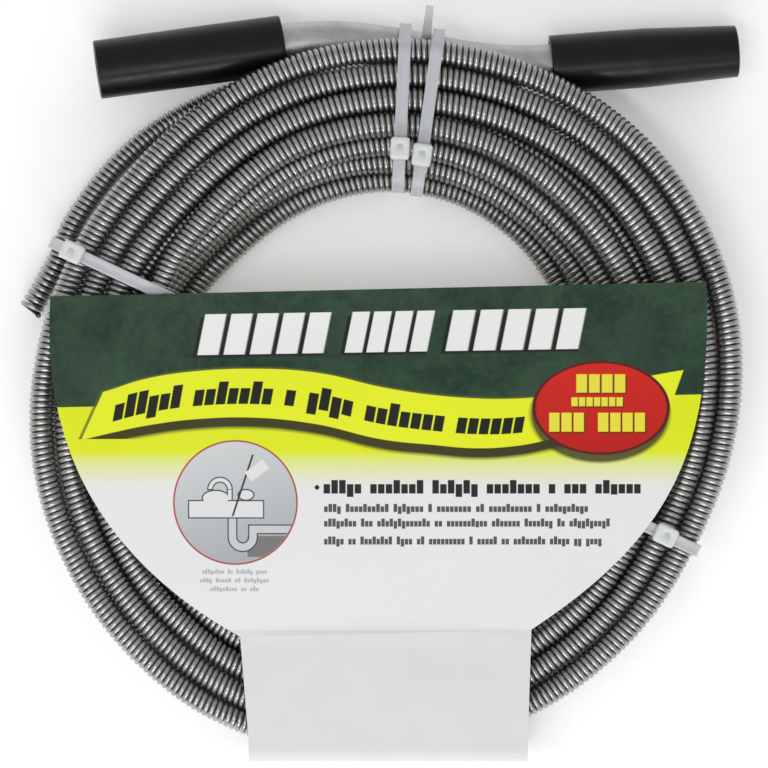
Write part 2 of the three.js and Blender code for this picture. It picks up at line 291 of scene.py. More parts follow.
def settle(degrees, radius, height):
    """Push the turns apart until no two lie in each other or in the crank, and keep them smooth."""
    angle = np.radians(degrees)
    around = np.stack([np.sin(angle), np.cos(angle)], 1)
    want = np.stack([radius, height], 1)
    at = want.copy()
    count = len(at)
    crank = [(crank_bend(40), TUBE_RADIUS + CABLE_DIAMETER / 2 + ROOM_AT_TUBE)]
    clear_of_grip = GRIP_RADIUS + CABLE_DIAMETER / 2 + ROOM_AT_GRIP
    for end, way in ((LEFT_END, LEFT_WAY), (RIGHT_END, RIGHT_WAY)):
        crank.append((end + way * np.linspace(0, GRIP_LENGTH, 30)[:, None], clear_of_grip))
    spacing = CABLE_DIAMETER - MESH_DEPTH
    for turn in range(ROUNDS):
        stiff = 0.1 if turn < ROUNDS * 0.75 else 0.03
        push = np.zeros_like(at)
        for apart in range(1, len(PLACES) + 1):
            for slip in (0, -1, 1):
                gap = apart * STATIONS + slip
                if gap >= count:
                    continue
                across = at[gap:] - at[:-gap]
                far = np.linalg.norm(across, axis=1)
                slide = abs(slip) * STATION_LENGTH
                near = np.sqrt(far**2 + slide**2)
                short = np.clip(spacing - near, 0, None) * 0.5
                move = across / np.maximum(far, 0.2)[:, None] * short[:, None]
                push[gap:] += move
                push[:-gap] -= move
        at += np.clip(push * 0.6, -1.2, 1.2)
        at += (want - at) * (0.03 if turn < ROUNDS * 0.7 else 0.008)
        at[:, 0] = np.clip(at[:, 0], want[:, 0] - MOST_DRIFT, want[:, 0] + MOST_DRIFT)
        drift = at - want
        smooth = drift.copy()
        smooth[2:-2] = (drift[:-4] + 2 * drift[1:-3] + 2 * drift[2:-2] + 2 * drift[3:-1] + drift[4:]) / 8
        at += (smooth - drift) * (stiff + 0.35)
        world = np.column_stack([around * at[:, :1], at[:, 1]])
        for line, clear in crank:
            offset = world[:, None] - line[None]
            far = np.linalg.norm(offset, axis=2)
            nearest = far.argmin(1)
            rows = np.arange(count)
            short = np.clip(clear - far[rows, nearest], 0, None)
            way = offset[rows, nearest] / np.maximum(far[rows, nearest], 0.5)[:, None]
            at[:, 0] += (way[:, :2] * around).sum(1) * short
            at[:, 1] += way[:, 2] * short
        at[:, 1] = np.clip(at[:, 1], LOWEST, HIGHEST)
    return np.column_stack([around * at[:, :1], at[:, 1]])


def even(points, step):
    """The same line, cut into even steps along a smooth curve."""
    for _ in range(2):
        length = distances(points)
        marks = np.linspace(0, length[-1], max(int(length[-1] / step), 2))
        points = along_curve(points, length, marks)
    return points


def along_curve(line, length, marks):
    """The points of a line at the given distances along it."""
    return np.stack([catmull(length, line[:, i], marks) for i in range(3)], 1)


def catmull(x, y, at):
    """A smooth curve through the points [x, y], read off at the given x."""
    slope = np.gradient(y, x)
    i = np.clip(np.searchsorted(x, at) - 1, 0, len(x) - 2)
    width = x[i + 1] - x[i]
    t = (at - x[i]) / width
    return (
        (2 * t**3 - 3 * t**2 + 1) * y[i]
        + (t**3 - 2 * t**2 + t) * width * slope[i]
        + (3 * t**2 - 2 * t**3) * y[i + 1]
        + (t**3 - t**2) * width * slope[i + 1]
    )


# The last of the loose end, straight as it was cut off: its points from the end inwards.
TAIL_END = [(-135.5, 33.6, 5.6), (-131.4, 40.6, 5.9), (-127.4, 47.6, 6.2), (-123.6, 54.6, 6.4)]
TAIL_JOINS = -64  # degrees


def cable_line():
    degrees, radius, height = guides()
    points = settle(degrees, radius, height)
    line = even(np.concatenate([TAIL_END, points[degrees >= TAIL_JOINS]]), 2.0)
    return line[distances(line) <= CABLE_LENGTH]


WINDINGS_OUT_OF_LINE = 0.045
OPENED_AT_CUT = 0.22  # how much wider apart the windings are where the cable has been cut
OPENED_OVER = 16.0


def wound_wire(line):
    """The spring wire that the cable is wound from, as one closed mesh that follows the line."""
    sides, per_turn = ((6, 12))
    length = distances(line)
    total = length[-1]
    turns = int(total / PITCH)
    phase = np.arange(turns * per_turn + 1) / per_turn
    along = phase * PITCH
    along = along[along < total - 1]
    along = along + np.cumsum(OPENED_AT_CUT * PITCH / per_turn * np.exp(-along / OPENED_OVER))
    along = along[along < total - 1]
    phase = phase[: len(along)]
    centre = along_curve(line, length, along)
    _, side, up = directions(centre)
    # Each winding sits a hair in or out of line with its neighbours.
    sits = np.random.default_rng(7).normal(0, WINDINGS_OUT_OF_LINE, turns + 2)
    wobble = np.interp(phase, np.arange(turns + 2), sits)
    radius = (CABLE_DIAMETER - WIRE_DIAMETER) / 2 + wobble + bulb(total - along)
    turn = 2 * math.pi * phase
    outward = side * np.cos(turn)[:, None] - up * np.sin(turn)[:, None]
    wire = centre + outward * radius[:, None]
    along_wire = unit(np.gradient(wire, axis=0))
    across = unit(np.cross(along_wire, outward))
    outward = np.cross(across, along_wire)
    ring = circle(sides)
    half = WIRE_DIAMETER / 2
    out, over = (np.cos(ring) * half)[None, :, None], (np.sin(ring) * half)[None, :, None]
    points = (wire[:, None] + outward[:, None] * out + across[:, None] * over).reshape(-1, 3)
    # A fan closes each end of the wire.
    rings = len(wire)
    base, middle = (rings - 1) * sides, rings * sides
    points = np.concatenate([points, wire[:1], wire[-1:]])
    faces = grid_faces(rings, sides)
    faces += [[middle, (i + 1) % sides, i] for i in range(sides)]
    faces += [[middle + 1, base + i, base + (i + 1) % sides] for i in range(sides)]
    mesh = smooth_mesh("cable", points, faces)
    # How far out of the cable each point lies: 0 deep between the windings, 1 on the outside; the wire's
    # material paints shade deep between the windings by it.
    depth = mesh.attributes.new("out_of_groove", "FLOAT", "POINT")
    value = np.tile((np.cos(ring) + 1) / 2, rings)
    depth.data.foreach_set("value", np.concatenate([value, [0.5, 0.5]]).astype(np.float32))
    return linked("cable", mesh)


BULB_SWELL = 2.1
BULB_FROM_END = 24
BULB_SPREAD = 15


def bulb(from_end):
    """How much wider the boring head is wound, over the cable's last stretch."""
    return BULB_SWELL * np.exp(-(((from_end - BULB_FROM_END) / BULB_SPREAD) ** 2))


line = cable_line()
cable = wound_wire(line)
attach(cable, "bundle")
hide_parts("cable_coil", "cable_tail")

# ---- materials ----
def wire_steel():
    m = Nodes("wire_steel", Metallic=1.0)
    out = m.new("Attribute", "Fac", {"attribute_name": "out_of_groove"})
    # Painted shade: the wire turns near black deep between the windings and on the cable's inside, and is
    # bright steel where it lies out on the cable's surface.
    painted_shade = m.ramp(out, 0.25, 0.85)
    patches = m.noise(38, 3, 0.6)
    fine = m.noise(900, 2, 0.6)
    bright = m.mix(patches, (0.36, 0.355, 0.35), (0.55, 0.545, 0.54))
    dark = m.mix(fine, (0.012, 0.012, 0.013), (0.035, 0.033, 0.031))
    m.set("Base_Color", m.mix(painted_shade, dark, bright))
    m.set("Roughness", m.ramp(m.noise(420, 3, 0.6), 0.3, 0.7, 0.24, 0.4))
    m.bump(m.noise(2600, 2, 0.5), 0.15, 0.0001)
    return m.material


cable.data.materials.append(wire_steel())

# ---- the card's print ----
class Print(Nodes):
    """Flat shapes on the card, in mm from the coil's middle, each a mask from 0 to 1."""

    def __init__(self, name, **settings):
        super().__init__(name, **settings)
        split = self.tree.nodes.new("ShaderNodeSeparateXYZ")
        self.put(split.inputs[0], self.coordinates())
        self.x = self.minus(self.math("DIVIDE", split.outputs[0], MM), SHIFT[0])
        self.y = self.minus(self.math("DIVIDE", split.outputs[1], MM), SHIFT[1])
        self.z = self.math("DIVIDE", split.outputs[2], MM)

    def paint(self, mask, ink, strength=None):
        """Print over what is there already."""
        mask = self.times(mask, strength) if strength else mask
        self.colour = self.mix(mask, self.colour, ink)

    def both(self, *masks, operation="MULTIPLY"):
        total = masks[0]
        for mask in masks[1:]:
            total = self.math(operation, total, mask)
        return total

    def either(self, *masks):
        return self.both(*masks, operation="MAXIMUM")

    def between(self, value, low, high, soft=0.25):
        above = self.over(value, low, soft)
        return self.both(above, self.over(self.times(value, -1), -high, soft))

    def less(self, value, limit, soft=0.25):
        return self.minus(1.0, self.over(value, limit, soft))

    def box(self, low, high):
        return self.both(self.between(self.x, low[0], high[0]), self.between(self.y, low[1], high[1]))

    def far(self, centre, axes=(1, 1)):
        """The distance from a centre, counted in an ellipse's own half-axes."""
        across = self.math("DIVIDE", self.minus(self.x, centre[0]), axes[0])
        up = self.math("DIVIDE", self.minus(self.y, centre[1]), axes[1])
        return self.math("SQRT", self.plus(self.math("POWER", across, 2), self.math("POWER", up, 2)))

    def curve(self, value, points):
        """A height read off a smooth curve through [x, y] points."""
        node = self.tree.nodes.new("ShaderNodeFloatCurve")
        line = node.mapping.curves[0]
        low, high, floor, top = -120, 120, -30, 30
        for x, y in points[1:-1]:
            line.points.new((x - low) / (high - low), (y - floor) / (top - floor))
        for entry, (x, y) in zip((line.points[0], line.points[-1]), (points[0], points[-1])):
            entry.location = ((x - low) / (high - low), (y - floor) / (top - floor))
        node.mapping.update()
        self.put(node.inputs["Value"], self.ramp(value, low, high))
        return self.math("MULTIPLY_ADD", node.outputs[0], top - floor, floor)

    def line(self, ends, counts, low, high, x=None, y=None, capitals=False, soft=0.2, fill=0.78):
        """Plain blocks in place of a printed line, in groups of the counts given: they spell nothing."""
        x, y = x or self.x, y or self.y
        cells = "." + ".".join("#" * count for count in counts) + "."
        pitch = (ends[1] - ends[0]) / (len(cells) - 2)
        cell = self.math("DIVIDE", self.minus(x, ends[0] - pitch), pitch)
        number = self.math("FLOOR", cell)
        ramp = self.tree.nodes.new("ShaderNodeValToRGB")
        stops = ramp.color_ramp
        stops.interpolation = "CONSTANT"
        stops.elements.remove(stops.elements[1])
        stops.elements[0].color = (0, 0, 0, 1)
        for index in range(1, len(cells)):
            if cells[index] != cells[index - 1]:
                ink = float(cells[index] == "#")
                stops.elements.new(index / len(cells)).color = (ink, ink, ink, 1)
        self.put(ramp.inputs[0], self.math("DIVIDE", self.plus(number, 0.5), len(cells)))
        off_centre = self.math("ABSOLUTE", self.minus(self.math("FRACT", cell), fill / 2 + 0.04))
        block = self.times(self.less(off_centre, fill / 2, 0.07), ramp.outputs[0])
        if capitals:
            return self.times(block, self.between(y, low, high, soft))
        chance = self.new("TexWhiteNoise", "Value", {"noise_dimensions": "1D"}, W=number)
        body = low + (high - low) * 0.7
        top = self.math("MULTIPLY_ADD", self.over(chance, 0.68, 0.01), high - body, body)
        foot = self.math("MULTIPLY_ADD", self.less(chance, 0.1, 0.01), -(high - low) * 0.25, low)
        return self.both(block, self.over(self.minus(y, foot), 0, soft),
                         self.less(self.minus(y, top), 0, soft))


BANNER_TOP = [(-120, -1), (-105.2, 2.8), (-88, 8), (-71, 10.5), (-49, 11.4), (-29, 10.3), (0, 4.2),
              (16, 1.8), (32, 0.5), (46, 0.3), (60, 1.5), (80, 4.8), (98, 9), (120, 12.5)]
BANNER_FOOT = [(-120, -16.8), (-100, -11.8), (-87, -9.2), (-71, -7.2), (-50, -6.6), (-29, -8.6),
               (0, -15), (16, -16.6), (32, -17.9), (46, -17.2), (60, -14.6), (80, -9.5), (100, -3),
               (120, 4)]


def card_paper(name):
    """The card's ground: mottled green above, yellow below it that fades to white, a plain foot."""
    c = Print(name, Coat_Weight=0.06, Coat_Roughness=0.25, Specular_IOR_Level=0.18)
    cloudy = c.noise(55, 5, 0.62, distortion=0.6)
    flecks = c.noise(320, 4, 0.7)
    green = c.mix(c.ramp(cloudy, 0.35, 0.68), (0.010, 0.036, 0.019), (0.034, 0.078, 0.044))
    green = c.mix(c.times(c.ramp(flecks, 0.45, 0.75), 0.35), green, (0.065, 0.11, 0.065))
    patches = c.noise(24, 3, 0.5)
    green = c.mix(c.times(c.ramp(patches, 0.55, 0.75), 0.4), green, (0.03, 0.036, 0.032))
    white = c.mix(flecks, (0.80, 0.81, 0.80), (0.87, 0.87, 0.87))
    paper = c.mix(c.ramp(c.y, -31.5, -19), white, (0.78, 0.87, 0.015))
    split = c.math("MULTIPLY_ADD", c.x, 0.02, -0.4)
    c.colour = c.mix(c.over(c.minus(c.y, split), 0), paper, green)
    return c


def card_finish(c):
    """The foot without print, the bare board at the edges and inside, and the sheen."""
    foot = c.both(c.less(c.y, -85), c.between(c.x, -60, 60))
    plain = c.mix(c.noise(60, 4, 0.6), (0.70, 0.705, 0.71), (0.78, 0.785, 0.79))
    c.paint(foot, plain)
    board = c.mix(c.noise(700, 3, 0.7), (0.52, 0.5, 0.47), (0.68, 0.67, 0.64))
    front = c.either(c.over(c.z, CARD_TOP - 0.35, 0.1), c.less(c.y, -130, 0.5))
    c.set("Base_Color", c.mix(front, board, c.colour))
    c.set("Roughness", c.ramp(c.noise(90, 3), 0.3, 0.7, 0.38, 0.5))
    ripples = c.plus(c.noise(16, 2), c.times(c.noise(1400, 2), 0.02))
    c.bump(ripples, 0.25, 0.0015)
    return c.material


def title_print():
    """The title's line, white with a black shadow."""
    c = card_paper("printed_title")
    level = c.minus(c.y, c.times(c.x, 0.0165))
    lean = c.minus(c.x, c.times(c.minus(c.y, 25), 0.2))
    shade_lean = c.plus(lean, 1.5)
    shade_level = c.plus(level, 1.0)
    groups = (((-68.8, -20.6), 5), ((-14.6, 17.2), 4), ((22.4, 73.2), 5))
    for ends, count in groups:
        shade = c.line(ends, [count], 17.4, 33.0, shade_lean, shade_level, True, 0.8, 0.92)
        c.paint(shade, (0.01, 0.012, 0.01), 0.93)
    for ends, count in groups:
        block = c.line(ends, [count], 17.6, 32.8, lean, level, True, 0.2, 0.74)
        c.paint(block, (0.88, 0.88, 0.86))
    return card_finish(c)


def banner_print():
    """The yellow banner with its shadow and its line, and the red oval with its three lines."""
    c = card_paper("printed_banner")
    x, y = c.x, c.y
    top = c.curve(x, BANNER_TOP)
    foot = c.curve(x, BANNER_FOOT)
    above_top = c.minus(y, top)
    above_foot = c.minus(y, foot)
    slant = c.minus(x, c.times(y, 0.45))
    sides = c.both(c.over(slant, -106.6), c.less(c.minus(x, c.times(y, 0.36)), 104.9))
    banner = c.both(c.less(above_top, 0), c.over(above_foot, 0), sides)
    edge = c.both(
        c.less(above_top, 0.7, 0.4), c.over(above_foot, 0), c.over(slant, -107.9, 0.4), c.less(x, 60)
    )
    under = c.both(
        c.over(above_foot, -4.6, 1.6), c.less(above_foot, 1), c.over(slant, -107.9, 0.8), c.less(x, 96, 3)
    )
    c.paint(under, (0.03, 0.022, 0.012), 0.97)
    c.paint(edge, (0.1, 0.12, 0.03), 0.8)
    c.paint(banner, (0.84, 0.92, 0.02))
    along = c.minus(y, c.times(c.plus(top, foot), 0.5))
    lean = c.minus(x, c.times(along, 0.18))
    words = c.line((-101, 50.8), (6, 7, 1, 4, 7, 6), -4.0, 4.4, lean, along)
    c.paint(words, (0.012, 0.014, 0.008))
    lower = c.far((78.2, -5.2), (26.2, 18.2))
    c.paint(c.less(lower, 0.95, 0.07), (0.05, 0.04, 0.02), 0.92)
    oval = c.far((78.6, -2.9), (25.4, 17.3))
    c.paint(c.less(oval, 0.995, 0.012), (0.11, 0.012, 0.01))
    red = c.mix(c.ramp(y, -18, 12), (0.52, 0.012, 0.008), (0.66, 0.02, 0.012))
    c.paint(c.less(oval, 0.945, 0.012), red)
    right, raised = c.minus(x, 0.5), c.plus(y, 0.5)
    lines = [
        ((69.4, 88.2), [4], 2.6, 9.6),
        ((67.6, 87), [7], -2.4, 1.1),
        ((59.4, 95.4), [3, 4], -11.8, -4.6),
    ]
    for ends, counts, low, high in lines:
        c.paint(c.line(ends, counts, low, high, right, raised, True), (0.1, 0.03, 0.0))
        c.paint(c.line(ends, counts, low, high, None, None, True), (0.86, 0.78, 0.06))
    return card_finish(c)


def small_print():
    """The lines on white beside the drawing."""
    c = card_paper("printed_lines")
    bullet = c.less(c.far((-26.2, -32.2)), 0.75)
    heading = c.line((-23.8, 93.6), (5, 7, 6, 7, 1, 3, 6), -34.6, -29.6)
    c.paint(c.either(bullet, heading), (0.02, 0.02, 0.02))
    lines = [
        (74, (4, 10, 7, 1, 8, 2, 10, 1, 10), -41.4),
        (82, (8, 3, 13, 2, 10, 7, 7, 2, 10), -46.8),
        (79, (5, 2, 8, 4, 2, 9, 1, 5, 2, 8, 5, 2, 4), -53.4),
    ]
    for end, counts, low in lines:
        line = c.line((-23.6, end), counts, low, low + 3.0)
        c.paint(line, (0.04, 0.04, 0.04), 0.93)
    return card_finish(c)


def drawing_print():
    """The drawing in its ring, with three faint lines below it."""
    c = card_paper("printed_drawing")
    lines = ((-64.2, 12, (8, 2, 6, 4)), (-67.4, 12.8, (4, 5, 2, 8)), (-70.6, 9, (9, 2, 3)))
    for low, half, counts in lines:
        line = c.line((-56.6 - half, -56.6 + half), counts, low, low + 1.7)
        c.paint(line, (0.12, 0.12, 0.12), 0.45)
    pictogram(c)
    return card_finish(c)


# The card's face is cut into four areas, each with its own print: the title, the banner, the lines
# on white and the drawing.
TITLE_FOOT = 14.7
LINES_TOP = -24.0
DRAWING_TOP = -14.4
DRAWING_SIDE = -32.0


def card_area(x, y):
    if y > TITLE_FOOT:
        return 0
    if x < DRAWING_SIDE and y < DRAWING_TOP:
        return 3
    return 2 if y < LINES_TOP else 1


def pictogram(c):
    """A basin over its trap, in a ring: plain shapes of this file's own."""
    centre = (-56.3, -37.8)
    out = c.far(centre)
    shade = c.ramp(c.minus(c.y, c.times(c.x, 0.3)), -45, 5)
    grey = c.mix(shade, (0.42, 0.44, 0.46), (0.68, 0.7, 0.71))
    c.paint(c.less(out, 22.9), (0.45, 0.06, 0.05))
    c.paint(c.less(out, 22.3), grey)
    inside = c.less(out, 22.2)
    ink = (0.03, 0.03, 0.03)

    def shape(mask, fill):
        c.paint(c.both(mask, inside), fill)

    # The cabinet's shadow, then pipe, basin and tap, each drawn dark and filled paler inside the line.
    shape(c.box((-52, -58), (-34, -50)), (0.2, 0.2, 0.2))
    for grow, fill in ((0.45, ink), (0.0, (0.62, 0.64, 0.66))):
        bend = c.far((-53.6, -50.5))
        half = 1.5 + grow
        trap = c.both(c.between(bend, 3.8 - half, 3.8 + half), c.less(c.y, -50.4))
        down = c.box((-57.4 - half, -50.6), (-57.4 + half, -43))
        up = c.box((-49.8 - half, -50.6), (-49.8 + half, -46.2))
        away = c.box((-49.8 - half, -47.7 - half), (-30, -47.7 + half))
        shape(c.either(trap, down, up, away), fill)
    for grow, fill in ((0.45, ink), (0.0, (0.78, 0.79, 0.8))):
        basin = c.box((-73.5 - grow, -43.4 - grow), (-46 + grow, -37.2 + grow))
        bowl = c.far((-63.6, -36.2), (4.6 + grow, 2.6 + grow))
        knob = c.far((-52.4, -35), (2.6 + grow, 1.7 + grow))
        ring = c.between(c.far((-62, -33)), 3.6 - 0.8 - grow, 3.6 + 0.8 + grow)
        spout = c.both(ring, c.over(c.y, -33 - grow))
        stem = c.box((-59.2 - grow, -37), (-57.6 + grow, -33))
        fixtures = c.either(basin, c.less(bowl, 1, 0.05), c.less(knob, 1, 0.05), spout, stem)
        shape(fixtures, fill)
    # The auger's cable, from above down into the drain, and the block that holds it.
    lean = c.minus(c.x, c.times(c.plus(c.y, 43), 0.33))
    shape(c.both(c.between(lean, -57.9, -56.9), c.between(c.y, -43, -20)), ink)
    hand = c.both(
        c.between(c.plus(c.times(c.y, 0.8), c.times(c.x, -0.6)), 6.0, 10.4),
        c.between(c.plus(c.times(c.x, 0.8), c.times(c.y, 0.6)), -58.5, -50.0),
    )
    shape(hand, (0.8, 0.8, 0.8))


CARD_TOP = 34.15
LOWEST_BENT = 30  # only the card's face bends; its foot and rear flap stay as they are


def warped_card():
    """The card as it lies: its sheet bows a little over the coil and curls at the edges."""
    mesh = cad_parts["label_card"].data.copy()
    shape = bmesh.new()
    shape.from_mesh(mesh)
    # Cut the flat faces finely enough to bend, and along the edges of the printed areas.
    lines = {0: [DRAWING_SIDE], 1: [TITLE_FOOT, DRAWING_TOP, LINES_TOP]}
    for axis, low, high in ((0, -123, 120), (1, -139, 34)):
        for step in [*np.arange(low, high, 3.0), *(line + SHIFT[axis] for line in lines[axis])]:
            spot, way = [0, 0, 0], [0, 0, 0]
            spot[axis], way[axis] = step * MM, 1
            everything = shape.verts[:] + shape.edges[:] + shape.faces[:]
            bmesh.ops.bisect_plane(shape, geom=everything, plane_co=spot, plane_no=way, dist=1e-6)
    for vert in shape.verts:
        x, y = vert.co.x / MM - SHIFT[0], vert.co.y / MM - SHIFT[1]
        if vert.co.z / MM < LOWEST_BENT:
            continue
        free = min(max((y + 122) / 30, 0), 1)
        bow = 1.1 * math.exp(-(((x + 8) / 60) ** 2) - ((y + 15) / 48) ** 2)
        curl = 1.5 * max((abs(x) - 88) / 38, 0) ** 2 + 0.8 * max((y - 22) / 18, 0) ** 2
        crease = 0.5 * math.exp(-(((y + 86.5) / 1.6) ** 2)) * min(max((54 - abs(x)) / 10, 0), 1)
        wave = 0.14 * (math.sin(x / 11 + y / 23) + math.sin(y / 9 - x / 31 + 1))
        vert.co.z += (bow + curl + wave + 0.1) * free * MM + crease * MM
    shape.normal_update()
    shape.to_mesh(mesh)
    shape.free()
    mesh.name = "card_sheet"
    mesh.shade_smooth()
    mesh.set_sharp_from_angle(angle=math.radians(40))
    return linked("card_sheet", mesh)


card_sheet = warped_card()
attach(card_sheet, "bundle")
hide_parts("label_card")
card_sheet.data.materials.clear()
for make_print in (title_print, banner_print, small_print, drawing_print):
    card_sheet.data.materials.append(make_print())
for face in card_sheet.data.polygons:
    middle = face.center / MM
    face.material_index = card_area(middle.x - SHIFT[0], middle.y - SHIFT[1])


# ---- pieces of the crank ----
def grid_piece(name, rings, along_closed=False, sharp=35):
    """A mesh over closed rings of points, [ring][point] in mm from the coil's middle."""
    rings = np.asarray(rings, float)
    mesh = smooth_mesh(name, rings.reshape(-1, 3), grid_faces(*rings.shape[:2], along_closed))
    shape = bmesh.new()
    shape.from_mesh(mesh)
    bmesh.ops.remove_doubles(shape, verts=shape.verts, dist=1e-7)
    bmesh.ops.recalc_face_normals(shape, faces=shape.faces)
    shape.to_mesh(mesh)
    shape.free()
    mesh.shade_smooth()
    mesh.set_sharp_from_angle(angle=math.radians(sharp))
    return linked(name, mesh)


def rounded(profile, radius, steps=4):
    """A closed outline with each corner rounded off by at most radius."""
    corners = np.asarray(profile, float)
    out = []
    for before, at, after in zip(np.roll(corners, 1, 0), corners, np.roll(corners, -1, 0)):
        to_before, to_after = before - at, after - at
        cut = min(radius, np.linalg.norm(to_before) * 0.45, np.linalg.norm(to_after) * 0.45)
        start, end = at + unit(to_before) * cut, at + unit(to_after) * cut
        for t in np.linspace(0, 1, steps + 1):
            out.append((1 - t) ** 2 * start + 2 * t * (1 - t) * at + t**2 * end)
    return np.array(out)


def divided(outline, step):
    """A closed outline with its long sides cut into steps."""
    out = []
    for here, there in zip(outline, np.roll(outline, -1, 0)):
        for t in np.linspace(0, 1, max(int(np.linalg.norm(there - here) / step), 1), endpoint=False):
            out.append(here + (there - here) * t)
    return np.array(out)


def frame_of(way):
    side = unit(np.cross(way, [0.0, 0.0, 1.0] if abs(way[2]) < 0.9 else [0.0, 1.0, 0.0]))
    return side, np.cross(side, way)


def turned(name, profile, start, way, sides=96, shape=None, sharp=35):
    """A turned piece from a closed outline of [radius, distance along way].

    shape(angle, profile) scales the radii.
    """
    side, up = frame_of(way)
    profile = np.asarray(profile, float)
    rings = []
    for angle in circle(sides):
        outward = side * math.cos(angle) + up * math.sin(angle)
        scale = np.reshape(shape(angle, profile) if shape else 1.0, (-1, 1))
        rings.append(start + outward * (profile[:, :1] * scale) + way * profile[:, 1:])
    return grid_piece(name, rings, along_closed=True, sharp=sharp)


GRIP_BORE = 8.4
TUBE_BORE = 6.45
BEAD_FROM_END = 8.0
GROOVE_RADIUS = 9.4  # inside the grip, where it snaps over the tube's bead
END_WALL = 2  # the grip's closed end, but for a hole as wide as the tube's bore


def grip_profile(end_round):
    bead = GRIP_LENGTH - BEAD_FROM_END
    line = [
        (TUBE_BORE, 0), (GRIP_RADIUS, 0), (GRIP_RADIUS, GRIP_LENGTH * 0.5),
        (GRIP_RADIUS - 0.05, GRIP_LENGTH - 2.4), (GRIP_RADIUS - 0.02, GRIP_LENGTH),
        (GRIP_BORE, GRIP_LENGTH), (GRIP_BORE, bead + 2), (GROOVE_RADIUS, bead + 1.2),
        (GROOVE_RADIUS, bead - 1.2), (GRIP_BORE, bead - 2), (GRIP_BORE, END_WALL), (TUBE_BORE, END_WALL),
    ]
    shape = rounded(line, 0.5, 3)
    # The outer end is rounded over further than the rest.
    near = (shape[:, 0] > TUBE_BORE + 0.4) & (shape[:, 1] < end_round)
    depth = 1 - shape[near, 1] / end_round
    shape[near, 0] -= end_round * (1 - np.sqrt(1 - np.clip(depth, 0, 1) ** 2)) * 0.9
    return divided(shape, 1.5)


def grip_shape(seed, ragged):
    """Moulding: a faint flash line down each side, a soft wave, and a lip that isn't quite even."""
    rng = np.random.default_rng(seed)
    waves = rng.uniform(0, 2 * math.pi, 6)

    def scale(angle, profile):
        outer = profile[:, 0] > 9.6
        along = profile[:, 1]
        flash = 0.006 * math.exp(-((abs(math.cos(angle)) - 1) ** 2) / 0.00002)
        wave = 0.002 * np.sin(along / 9 + waves[0]) + 0.0015 * math.sin(2 * angle + waves[1])
        lip = ragged * np.exp(-(GRIP_LENGTH - along) / 1.6) * (
            math.sin(3 * angle + waves[2]) + 0.6 * math.sin(7 * angle + waves[3])
        )
        return 1 - np.where(outer, 0.004 - wave - flash + np.abs(lip), 0)

    return scale


TUBE_INSET = 2.3  # from the grip's outer end to the tube's
BEAD_HEIGHT = 0.9


def crank_line():
    """The tube's centre line, in mm, cut finely enough to bend smoothly."""
    left = LEFT_END + LEFT_WAY * TUBE_INSET
    right = RIGHT_END + RIGHT_WAY * TUBE_INSET
    rows = [left + (BEND_FIRST - left) * t for t in np.linspace(0, 1, 60)[:-1]]
    rows += list(crank_bend(90)[:-1])
    rows += [BEND_LAST + (right - BEND_LAST) * t for t in np.linspace(0, 1, 60)]
    return np.array(rows)


def crank_tube():
    line = crank_line()
    way, side, up = directions(line)
    length = distances(line)
    bend = np.linalg.norm(np.gradient(way, length, axis=0), axis=1)
    bend = np.convolve(bend, np.ones(9) / 9, "same")
    # A rolled bead near each end keeps the grip on.
    bead_at = GRIP_LENGTH - BEAD_FROM_END - TUBE_INSET
    beads = (bead_at, length[-1] - bead_at)
    bead = sum(np.exp(-(((length - at) / 0.7) ** 4)) * BEAD_HEIGHT for at in beads)
    angles = circle(64)
    outer, inner = [], []
    for i, at in enumerate(line):
        # Bending has flattened the tube a little.
        squeeze = 1 - min(bend[i] * 3.2, 0.07)
        wide, high = np.cos(angles) * squeeze, np.sin(angles) * (2 - squeeze) ** 0.5
        radius = TUBE_RADIUS - 0.05 + bead[i]
        if i in (0, len(line) - 1):
            radius -= 0.35
        outer.append(at + side[i] * wide[:, None] * radius + up[i] * high[:, None] * radius)
        round_part = side[i] * np.cos(angles)[:, None] + up[i] * np.sin(angles)[:, None]
        inner.append(at + round_part * TUBE_BORE)
    return grid_piece("crank_tube_bent", outer + inner[::-1], along_closed=True, sharp=50)


def cut_out(piece, cutter):
    """Take one closed piece's volume out of another."""
    change = piece.modifiers.new("cut", "BOOLEAN")
    change.operation = "DIFFERENCE"
    change.object = cutter
    change.solver = "EXACT"
    applied(piece)
    bpy.data.objects.remove(cutter)


DOWN = np.array([0.0, 0.0, -1.0])
LOCK_ALONG = 0.63  # of the tube's length
NUT_BASE = TUBE_RADIUS + 0.3
LOCK_END = NUT_BASE + 3.0
NUT_BORE = 3.4
NUT_RADIUS = 5.5
NUT_CORNER = 5.77  # its radius at the corners, once it is six-sided
SCREW_RADIUS = 2.5
THREAD_DEPTH = 0.48
THREAD_PITCH = 1.0
SOCKET = 1.7  # the hexagonal socket's radius at its corners


def lock_point():
    line = crank_line()
    length = distances(line)
    return np.array([np.interp(LOCK_ALONG * length[-1], length, line[:, i]) for i in range(3)])


lock_at = lock_point()


def hexagon(angle):
    """A hexagon's radius at an angle, counted in its corners' radius."""
    return math.cos(math.pi / 6) / math.cos((angle % (math.pi / 3)) - math.pi / 6)


def lock_nut():
    ring = [(NUT_BORE, NUT_BASE), (NUT_RADIUS, NUT_BASE), (NUT_RADIUS, LOCK_END), (NUT_BORE, LOCK_END)]

    def six_sided(angle, profile):
        outer = np.clip((profile[:, 0] - 3.9) / 1.4, 0, 1)
        chamfer = np.clip((profile[:, 1] - (LOCK_END - 0.8)) / 0.8, 0, 1) * 0.05
        return 1 + outer * (NUT_CORNER * hexagon(angle) / NUT_RADIUS - 1 - chamfer)

    return turned("lock_nut_hex", rounded(ring, 0.35, 3), lock_at, DOWN, 96, six_sided, 30)


